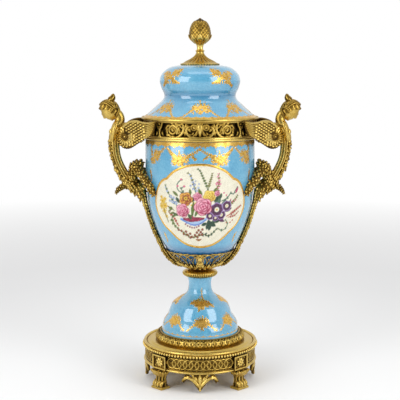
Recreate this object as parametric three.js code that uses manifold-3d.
// Covered mantel urn: a pale blue porcelain vase, lid and foot in gilt bronze mounts.
// Units are millimetres, +Z is up, the front faces -Y and the two handles lie along X.
// The origin is at the middle of the four feet, on the surface that the urn stands on.

import * as THREE from 'three';
import { mergeVertices } from 'three/addons/utils/BufferGeometryUtils.js';
import Module from 'manifold-3d';

// ---------------------------------------------------------------- driving dimensions

const GAP = 0.4;                    // clearance between two pieces that rest together

const FLOOR_OF_DRUM = 30;           // underside of the base drum, on top of the feet
const DRUM_RADIUS = 86.4;           // frieze of the drum
const DRUM_WALL = 6;
const DRUM_TOP = 62.4;              // crest of the drum's rounded rim
const FEET = 4;

const BLOCK = { face: 89.2, halfWidth: 14.8, top: 52.3, margin: 3.4, recess: 1.8 };
const PLINTH = { back: 76.6, front: 94.5, halfWidth: 11.3, height: 4.4 };
const APRON = { radius: 87, depth: 4.2, tip: 2.2 };

const PLATE = { radius: 83.5, flat: 77.5, top: 63.4, edge: 60.6, seat: 57.4 };
const LAUREL = { inner: 61.4, outer: 69.5, top: 76.6 };

const FOOT_TOP = 162.6;
const COLLAR = { bottom: FOOT_TOP + GAP, top: 174.6, radius: 27, flutes: 12 };
const CALYX = { bottom: 175, top: 208.6, standoff: 0.6, thickness: 2.8, arches: 12 };

const BODY_FLOOR = 180.4;
const BODY_RIM = 379;
const PORCELAIN_WALL = 4.2;

const GALLERY = {
  bottom: BODY_RIM + GAP, ledge: 410.2, top: 413.2, low: 86, high: 90.2, liner: 79.8,
};
const WINDOW = { from: 385.4, to: 407.4 };

const LID_RIM = GALLERY.ledge + GAP;
const LID_TOP = 491;
const FINIAL_BOTTOM = LID_TOP + GAP;
const FINIAL_TIP = 562;

const SEGMENTS = 24;                // sides of the turned porcelain and its mounts

// ---------------------------------------------------------------- materials

const gilt = (roughness) =>
  new THREE.MeshStandardMaterial({ color: 0xa88b3c, roughness, metalness: 1 });
const porcelain = () =>
  new THREE.MeshStandardMaterial({ color: 0x7cb4d8, roughness: 0.15, metalness: 0 });

// ---------------------------------------------------------------- shape helpers

const point = (r, z) => new THREE.Vector2(r, z);
const points = (pairs) => pairs.map(([r, z]) => point(r, z));
const degrees = THREE.MathUtils.degToRad;

// A solid turned about the Z axis from a profile that runs up its outside.
function turned(profile, segments = SEGMENTS) {
  return new THREE.LatheGeometry(profile, segments).rotateX(Math.PI / 2);
}

// The line beside a curve at a distance, outside it where the distance is positive.
function beside(curve, distance, steps, from = 0, to = 1) {
  return Array.from({ length: steps + 1 }, (_, i) => {
    const t = from + (to - from) * (i / steps);
    const at = curve.getPointAt(t);
    const along = curve.getTangentAt(t);
    return at.add(point(along.y, -along.x).multiplyScalar(distance));
  });
}

// The share of a rising curve's length at which it reaches a height.
function shareAtHeight(curve, z) {
  let low = 0;
  let high = 1;
  for (let i = 0; i < 30; i++) {
    const middle = (low + high) / 2;
    if (curve.getPointAt(middle).y < z) low = middle;
    else high = middle;
  }
  return low;
}

// A geometry as a solid that can be joined and cut.
function solid(geometry) {
  const bare = geometry.clone();
  bare.deleteAttribute('normal');
  bare.deleteAttribute('uv');
  const merged = mergeVertices(bare, 1e-4);
  const corners = merged.index.array;
  const triangles = [];
  for (let i = 0; i < corners.length; i += 3) {
    const [a, b, c] = [corners[i], corners[i + 1], corners[i + 2]];
    if (a !== b && b !== c && c !== a) triangles.push(a, b, c);
  }
  return new wasm.Manifold(new wasm.Mesh({
    numProp: 3,
    vertProperties: merged.attributes.position.array,
    triVerts: new Uint32Array(triangles),
  }));
}

// A joined or cut solid as a geometry again.
function surface(joined) {
  const mesh = joined.getMesh();
  const geometry = new THREE.BufferGeometry();
  geometry.setAttribute('position', new THREE.BufferAttribute(mesh.vertProperties, 3));
  geometry.setIndex(new THREE.BufferAttribute(mesh.triVerts, 1));
  geometry.computeVertexNormals();
  return geometry;
}

const join = (geometries) => geometries.map(solid).reduce((whole, part) => whole.add(part));

// The same geometry seen in a mirror across the YZ plane, with its faces still pointing out.
function mirrored(geometry) {
  const copy = geometry.clone();
  copy.scale(-1, 1, 1);
  const corners = copy.index.array;
  for (let i = 0; i < corners.length; i += 3) {
    [corners[i], corners[i + 1]] = [corners[i + 1], corners[i]];
  }
  copy.computeVertexNormals();
  return copy;
}

// Moves each vertex of a geometry to where a function puts it.
function reshape(geometry, place) {
  const position = geometry.attributes.position;
  const vertex = new THREE.Vector3();
  for (let i = 0; i < position.count; i++) {
    vertex.fromBufferAttribute(position, i);
    place(vertex);
    position.setXYZ(i, vertex.x, vertex.y, vertex.z);
  }
  return geometry;
}

// An oval limb along a smooth line. Each station is [x, y, z, half breadth, half thickness],
// and the breadth lies as near to the direction `across` as the line allows.
function limb(stations, sides, steps, across = new THREE.Vector3(0, 1, 0)) {
  const line = new THREE.CatmullRomCurve3(
    stations.map(([x, y, z]) => new THREE.Vector3(x, y, z)));
  const girth = new THREE.SplineCurve(stations.map(([, , , b, t]) => point(b, t)));
  return reshape(new THREE.CylinderGeometry(1, 1, 1, sides, steps), (v) => {
    const t = 0.5 - v.y;
    const along = line.getTangent(t);
    const side = across.clone().addScaledVector(along, -across.dot(along)).normalize();
    const outward = along.clone().cross(side);
    const half = girth.getPoint(t);
    const [breadth, thickness] = [v.x * half.x, v.z * half.y];
    v.copy(line.getPoint(t)).addScaledVector(side, breadth).addScaledVector(outward, thickness);
  });
}

// A small oval ball, turned about Y.
function ball(x, y, z, rx, ry, rz, around = 6, rings = 4, tilt = 0) {
  return new THREE.SphereGeometry(1, around, rings)
    .rotateX(Math.PI / 2).scale(rx, ry, rz).rotateY(tilt).translate(x, y, z);
}

// A flat outline of a given depth, standing upright and facing -Y, its front at y = -front.
function plaque(outline, front, depth) {
  return new THREE.ExtrudeGeometry(new THREE.Shape(outline), {
    depth, steps: 1, bevelEnabled: false,
  }).rotateX(Math.PI / 2).translate(0, depth - front, 0);
}

// Bends an upright plaque round the Z axis, so that x becomes a distance along the arc.
function bentRound(geometry) {
  return reshape(geometry, (v) => {
    const radius = -v.y;
    const angle = v.x / radius;
    v.x = radius * Math.sin(angle);
    v.y = -radius * Math.cos(angle);
  });
}

const turnedBy = (geometry, angle) => geometry.clone().rotateZ(angle);
const aroundAxis = (count, start = 0) =>
  Array.from({ length: count }, (_, i) => start + (i / count) * 2 * Math.PI);

// An outline and its reflection in x = 0, joined into one.
const bothSides = (half) =>
  [...half, ...half.slice().reverse().filter((p) => p.x !== 0).map((p) => point(-p.x, p.y))];

// ---------------------------------------------------------------- outlines of the porcelain

const bodyOutline = new THREE.SplineCurve(points([
  [18, BODY_FLOOR], [30.5, 185.4], [40, 193], [47.1, 200.7], [58.7, 218.2], [68.8, 240.5],
  [76.1, 262.6], [81, 284.7], [84.1, 326.9], [84.4, 350], [83.9, BODY_RIM],
]));

const lidOutline = new THREE.SplineCurve(points([
  [87.7, LID_RIM + 1.6], [82.9, 415.6], [73.5, 423.2], [64.7, 431.1], [57.1, 438.9],
  [54.8, 446.6], [59, 456.4], [61.7, 468], [58.6, 477.7], [50.4, 485.4], [42.8, 489],
  [32, LID_TOP],
]));

const footOutline = new THREE.SplineCurve(points([
  [60.3, 77], [58.6, 89], [54.5, 96.3], [50.2, 102.5], [48.3, 109], [45.9, 115],
  [42.2, 121.2], [34.3, 127.3], [24, 133.6], [19.2, 139.7], [18, 151], [19, FOOT_TOP],
]));

// ---------------------------------------------------------------- base

// One framed block of the drum, at the front: a sunk field with a six-petalled rosette.
function rosetteBlock() {
  const height = BLOCK.top - FLOOR_OF_DRUM;
  const middle = FLOOR_OF_DRUM + height / 2;
  const back = DRUM_RADIUS - DRUM_WALL + 1.2;
  const block = new THREE.BoxGeometry(2 * BLOCK.halfWidth, BLOCK.face - back, height)
    .translate(0, -(BLOCK.face + back) / 2, middle);
  const field = new THREE.BoxGeometry(
    2 * (BLOCK.halfWidth - BLOCK.margin), 2 * BLOCK.recess, height - 2 * BLOCK.margin)
    .translate(0, -BLOCK.face, middle);
  const petals = aroundAxis(12).map((angle, i) => {
    const reach = i % 2 === 0 ? 6.6 : 4.6;
    return point(reach * Math.sin(angle), reach * Math.cos(angle));
  });
  const flower = plaque(petals, BLOCK.face - 0.4, BLOCK.recess + 0.6).translate(0, 0, middle);
  return solid(block).subtract(solid(field)).add(solid(flower));
}

// The drum is an open ring: lower band, frieze, bead moulding and rounded rim, with a ledge
// inside for the plate, and a block over each foot.
function baseDrum() {
  const inside = DRUM_RADIUS - DRUM_WALL;
  const ledge = PLATE.seat - GAP;
  const ring = turned(points([
    [inside, FLOOR_OF_DRUM], [89, FLOOR_OF_DRUM], [89, 32.8], [DRUM_RADIUS, 34],
    [DRUM_RADIUS, 53], [88.8, 56.4], [89.9, 60.2], [87, DRUM_TOP], [84.2, 60.6],
    [84.2, ledge], [inside, ledge], [inside, FLOOR_OF_DRUM],
  ]));
  const block = rosetteBlock();
  return aroundAxis(FEET, Math.PI / 4).reduce(
    (drum, angle) => drum.add(solid(turnedBy(surface(block), angle))), solid(ring));
}

// A lion's paw on a square plinth, under a flared leaf capital, made at the front.
function pawFoot() {
  const middle = 84.6;
  const leg = limb([
    [0, -middle, FLOOR_OF_DRUM - GAP, 14.6, 7.4],
    [0, -middle, 26.4, 16, 9],
    [0, -middle + 0.4, 20, 9.8, 6.4],
    [0, -middle, 12, 9.4, 6.6],
    [0, -middle - 1.4, 7.4, 11, 8.6],
    [0, -middle - 1, PLINTH.height - 1, 11, 9],
  ], 6, 5, new THREE.Vector3(1, 0, 0));
  const plinth = new THREE.BoxGeometry(
    2 * PLINTH.halfWidth, PLINTH.front - PLINTH.back, PLINTH.height)
    .translate(0, -(PLINTH.front + PLINTH.back) / 2, PLINTH.height / 2);
  const toes = [-1.5, -0.5, 0.5, 1.5].map((step) =>
    ball(step * 5.2, -91 + 0.5 * step * step, 6.6, 3, 3.2, 3.2, 5, 3));
  return join([plinth, leg, ...toes]);
}

// The pendant leaf between two feet: a pointed middle leaf, two drooping serrated lobes and
// a bead drop, bent to the drum and made at the front.
function apronPalmette() {
  const top = FLOOR_OF_DRUM - GAP;
  const half = points([
    [0, top], [4.4, top], [6, 25.2], [9, top], [19.5, top], [25.4, 24.4], [29, 16.4],
    [22.8, 20.6], [19.6, 19.4], [16.4, 20.8], [5.4, 10.4], [2.9, 7.4], [2.6, 4],
    [0, APRON.tip],
  ]);
  return bentRound(plaque(bothSides(half), APRON.radius, APRON.depth));
}

// The smooth stepped plate that closes the drum and carries the porcelain foot.
function soclePlate() {
  return turned(points([
    [0, PLATE.seat], [PLATE.radius, PLATE.seat], [PLATE.radius, PLATE.edge],
    [78.6, PLATE.top - 1.4], [PLATE.flat, PLATE.top], [0, PLATE.top],
  ]));
}

// The laurel wreath round the bottom of the porcelain foot, a convex ring of overlapping leaves.
function laurelRing() {
  const bottom = PLATE.top + GAP;
  return turned(points([
    [LAUREL.inner, bottom], [68.6, bottom], [LAUREL.outer, 68.6], [66, 74],
    [LAUREL.inner + 0.4, LAUREL.top], [LAUREL.inner, bottom],
  ]));
}

// ---------------------------------------------------------------- porcelain foot and its mounts

// A hollow bell, open below, with a closed top under the collar.
function porcelainFoot() {
  const bottom = PLATE.top + GAP;
  const outside = footOutline.getSpacedPoints(9);
  const inside = beside(footOutline, -PORCELAIN_WALL, 6, 0.2, 0.9).reverse();
  return turned([
    point(60.3, bottom), ...outside, point(0, FOOT_TOP),
    point(0, inside[0].y), ...inside, point(60.3 - PORCELAIN_WALL, bottom), point(60.3, bottom),
  ]);
}

// The gadrooned collar between foot and vase; its flutes are waves in the radius.
function flutedCollar() {
  const profile = points([
    [0, COLLAR.bottom], [20, COLLAR.bottom], [COLLAR.radius - 1, 166], [COLLAR.radius, 169],
    [22.6, 172.6], [14.6, COLLAR.top], [0, COLLAR.top],
  ]);
  const collar = turned(profile, 2 * COLLAR.flutes);
  return reshape(collar, (v) => {
    const step = Math.round(Math.atan2(v.y, v.x) / (Math.PI / COLLAR.flutes));
    const reach = Math.hypot(v.x, v.y);
    const pinch = step % 2 === 0 || reach < 23 ? 1 : 1 - 0.9 / reach;
    v.set(v.x * pinch, v.y * pinch, v.z);
  });
}

// The bronze cup under the vase, close round the porcelain, with an arcaded upper edge.
function calyx() {
  const reach = shareAtHeight(bodyOutline, CALYX.top - 2);
  const inner = beside(bodyOutline, CALYX.standoff, 3, 0, reach);
  const outer = beside(bodyOutline, CALYX.standoff + CALYX.thickness, 3, 0.03, reach);
  const crest = outer[outer.length - 1].y;
  const cup = turned([
    point(0, CALYX.bottom), point(14, CALYX.bottom), ...outer, ...inner.reverse(),
    point(0, BODY_FLOOR - GAP),
  ], 2 * CALYX.arches);
  return reshape(cup, (v) => {
    const step = Math.round(Math.atan2(v.y, v.x) / (Math.PI / CALYX.arches));
    if (v.z > crest - 3 && step % 2 !== 0) v.z -= 3.4;
  });
}

// ---------------------------------------------------------------- vase, gallery and lid

// A hollow vase with an open mouth.
function vaseBody() {
  const outside = bodyOutline.getSpacedPoints(8);
  const inside = beside(bodyOutline, -PORCELAIN_WALL, 6, 0.1, 1).reverse().slice(1);
  const mouth = point(outside.at(-1).x - PORCELAIN_WALL, BODY_RIM);
  return turned([
    point(0, BODY_FLOOR), ...outside, mouth, ...inside, point(0, BODY_FLOOR + 6),
  ]);
}

// The gallery: a low rail and a rebated top rail joined by a thin dark liner, with openwork
// in front of it. Each quarter has a pendant leaf between two leaning stems and two scrolls,
// and an upright parts it from the next quarter.
function gallery() {
  const { bottom, ledge, top, low, high, liner } = GALLERY;
  const rails = turned(points([
    [liner, bottom], [low, bottom], [low, WINDOW.from], [liner + 1.4, WINDOW.from],
    [liner + 1.4, WINDOW.to], [high, WINDOW.to], [high, top], [high - 1.8, top],
    [high - 1.8, ledge], [liner, ledge], [liner, bottom],
  ]));
  const middle = (WINDOW.from + WINDOW.to) / 2;
  const reach = 84.4;
  const scroll = new THREE.TorusGeometry(10.6, 2.2, 3, 6).rotateZ(Math.PI / 6)
    .rotateX(Math.PI / 2).translate(0, -reach, middle);
  const leaf = bentRound(plaque(points([
    [-6, WINDOW.to + 1], [0, WINDOW.from - 4], [6, WINDOW.to + 1],
  ]), reach + 3, 5));
  const upright = bentRound(plaque(points([
    [-2.6, WINDOW.to + 1], [-2.6, WINDOW.from - 1], [2.6, WINDOW.from - 1],
    [2.6, WINDOW.to + 1],
  ]), reach + 2, 4));
  const stem = (hand) => bentRound(plaque(points([
    [hand * 7, WINDOW.from - 1], [hand * 12, WINDOW.from - 1], [hand * 21, WINDOW.to + 1],
    [hand * 16, WINDOW.to + 1],
  ]), reach + 2, 4));
  const quarter = Math.PI / 2;
  const pieces = aroundAxis(4).flatMap((angle) => [
    turnedBy(leaf, angle),
    turnedBy(stem(-1), angle),
    turnedBy(stem(1), angle),
    turnedBy(scroll, angle - 0.31 * quarter),
    turnedBy(scroll, angle + 0.31 * quarter),
    turnedBy(upright, angle + 0.5 * quarter),
  ]);
  return join([rails, ...pieces]);
}

// A hollow domed lid with a waist, open below, its rim on the gallery's ledge.
function lid() {
  const outside = lidOutline.getSpacedPoints(10);
  const inside = beside(lidOutline, -PORCELAIN_WALL, 6, 0.1, 0.9).reverse();
  return turned([
    point(87.7, LID_RIM), ...outside, point(0, LID_TOP),
    point(0, inside[0].y), ...inside, point(83, LID_RIM), point(87.7, LID_RIM),
  ]);
}

// The pine cone finial on its spreading leafy foot.
function finial() {
  return turned(points([
    [0, FINIAL_BOTTOM], [29.8, FINIAL_BOTTOM], [29.8, 493.4], [18.6, 498.4], [9, 503.4],
    [6.2, 509], [6.9, 512.6], [4.7, 516], [5.2, 521.6], [14, 530.4], [16, 537.5],
    [14.7, 544], [12.2, 552], [0, FINIAL_TIP],
  ]), 10);
}

// ---------------------------------------------------------------- handles

// A wing of the right handle: one plate of feathers, its root at the bust's back and its tip
// on the gallery. Its outline is drawn in x and z, and the plate
// leans forward towards the tip.
function wing(side) {
  const root = { x: 127, y: 2.6 };
  const tip = { x: 66, y: 62.8 };
  const outline = points([
    [131, 391], [118, 398.6], [108, 406.6], [96, 409], [84, 406.6], [67, 409.6],
    [66, 399], [70.6, 388.6], [81, 382.6], [95, 372.6], [107, 365.2], [117.6, 365],
    [124.4, 371.4], [131, 381],
  ]);
  const flat = new THREE.ExtrudeGeometry(new THREE.Shape(outline), {
    depth: 3, steps: 1, bevelEnabled: false,
  });
  return reshape(flat, (v) => {
    const share = (root.x - v.x) / (root.x - tip.x);
    const forward = root.y + (tip.y - root.y) * share + 3 * Math.sin(Math.PI * share);
    v.set(v.x, side * (forward + v.z), v.y);
  });
}

// A wing with its faces pointing out on either side of the handle's plane.
function facingWing(side) {
  const geometry = mergeVertices(wing(side));
  if (side < 0) return geometry;
  const corners = geometry.index.array;
  for (let i = 0; i < corners.length; i += 3) {
    [corners[i], corners[i + 1]] = [corners[i + 1], corners[i]];
  }
  return geometry;
}

// The strap that follows the vase's side down over the calyx.
function strap() {
  const clear = GAP + 0.2;
  const overCalyx = CALYX.standoff + CALYX.thickness + clear;
  const low = shareAtHeight(bodyOutline, 186);
  const lip = shareAtHeight(bodyOutline, CALYX.top + 1.6);
  const high = shareAtHeight(bodyOutline, 300);
  const outline = [
    ...beside(bodyOutline, 8.6, 3, low, lip),
    ...beside(bodyOutline, 8, 5, lip + 0.06, high),
    ...beside(bodyOutline, clear, 5, lip, high).reverse(),
    ...beside(bodyOutline, overCalyx, 2, low, lip).reverse(),
  ];
  const halfWidth = 6.6;
  return new THREE.ExtrudeGeometry(new THREE.Shape(outline), {
    depth: 2 * halfWidth, steps: 1, bevelEnabled: false,
  }).rotateX(Math.PI / 2).translate(0, halfWidth, 0);
}

// The garland of leaves and berries that hangs from the acanthus across the vase's side.
function garland(side) {
  return limb([
    [97, side * 9, 333.4, 5.2, 5.4], [90.6, side * 20, 327.2, 5.8, 5.6],
    [80.2, side * 38.6, 314.6, 5.6, 5.2], [72.8, side * 48.6, 304.8, 4.8, 4.4],
    [69.6, side * 51, 296, 2.6, 2.4],
  ], 4, 5, new THREE.Vector3(1, side, 0));
}

// The right-hand handle: C-scroll, winged bust, acanthus, garlands, tail and strap in one casting.
function handle() {
  const scroll = limb([
    [107, 0, 400.6, 6, 2.4], [118, 0, 399.4, 7, 3.2], [128, 0, 393, 7.6, 5],
    [133.6, 0, 383, 7.6, 7.2], [134.2, 0, 373, 7.4, 8], [131, 0, 357, 7, 7.2],
    [128, 0, 340, 7, 7.4], [123, 0, 329.6, 7, 7.2], [116.4, 0, 319, 7.4, 7.4],
    [110.4, 0, 310, 8.2, 6.6],
  ], 6, 10);
  const torso = limb([
    [131.6, 0, 388, 11, 6], [130.4, 0, 397, 10, 6.4], [127.6, 0, 404.4, 6.6, 5.8],
    [127.2, 0, 411, 5, 5.2], [130, 0, 419, 5.2, 5.6],
  ], 5, 3);
  const bow = degrees(38);
  const head = ball(138.8, 0, 422.6, 13.6, 11.6, 16.4, 8, 5, bow);
  const topknot = limb([
    [137, 0, 435, 5.4, 5.4], [133.6, 0, 440.4, 5.2, 5], [132.6, 0, 448, 1.6, 1.6],
  ], 5, 3);
  const fringe = ball(151.4, 0, 428.6, 5, 9, 4.6, 6, 3, bow);
  const acanthus = limb([
    [112, 0, 308, 9, 5], [106.4, 0, 320, 11.6, 7], [102.6, 0, 331, 12.6, 8.6],
    [97, 0, 338.4, 11.6, 8.4], [91.4, 0, 341, 9, 6],
  ], 6, 4);
  const root = limb([
    [113, 0, 312, 8, 7], [102.6, 0, 307, 8.4, 9.6], [95, 0, 298, 7.6, 7.4],
    [89, 0, 286, 6.6, 4],
  ], 5, 2);
  const tail = limb([
    [111, 0, 307.4, 6, 5.6], [120.4, 0, 304.4, 5.6, 4.8], [127.4, 0, 299.6, 4.2, 3.6],
    [130.8, 0, 292.6, 2, 1.8],
  ], 4, 3);
  return join([
    scroll, torso, head, topknot, fringe, acanthus, root, tail, strap(),
    garland(-1), garland(1), facingWing(-1), facingWing(1),
  ]);
}

// ---------------------------------------------------------------- the urn

const wasm = await Module();
wasm.setup();

const urn = new THREE.Group();

function add(name, geometry, material, angle = 0) {
  const mesh = new THREE.Mesh(geometry, material);
  mesh.name = name;
  mesh.rotation.z = angle;
  urn.add(mesh);
}

add('base_drum', surface(baseDrum()), gilt(0.35));

const cornerNames = ['front_right', 'back_right', 'back_left', 'front_left'];
const paw = surface(pawFoot());
aroundAxis(FEET, Math.PI / 4).forEach((angle, i) =>
  add(`paw_foot_${cornerNames[i]}`, paw, gilt(0.4), angle));

const sideNames = ['front', 'right', 'back', 'left'];
const palmette = apronPalmette();
aroundAxis(FEET).forEach((angle, i) =>
  add(`apron_palmette_${sideNames[i]}`, palmette, gilt(0.4), angle));

add('socle_plate', soclePlate(), gilt(0.25));
add('laurel_ring', laurelRing(), gilt(0.4));
add('porcelain_foot', porcelainFoot(), porcelain());
add('fluted_collar', flutedCollar(), gilt(0.35));
add('calyx', calyx(), gilt(0.4));
add('vase_body', vaseBody(), porcelain());
add('gallery', surface(gallery()), gilt(0.35));
add('lid', lid(), porcelain());
add('pine_cone_finial', finial(), gilt(0.4));

const rightHandle = surface(handle());
add('handle_right', rightHandle, gilt(0.4));
add('handle_left', mirrored(rightHandle), gilt(0.4));

export default urn;
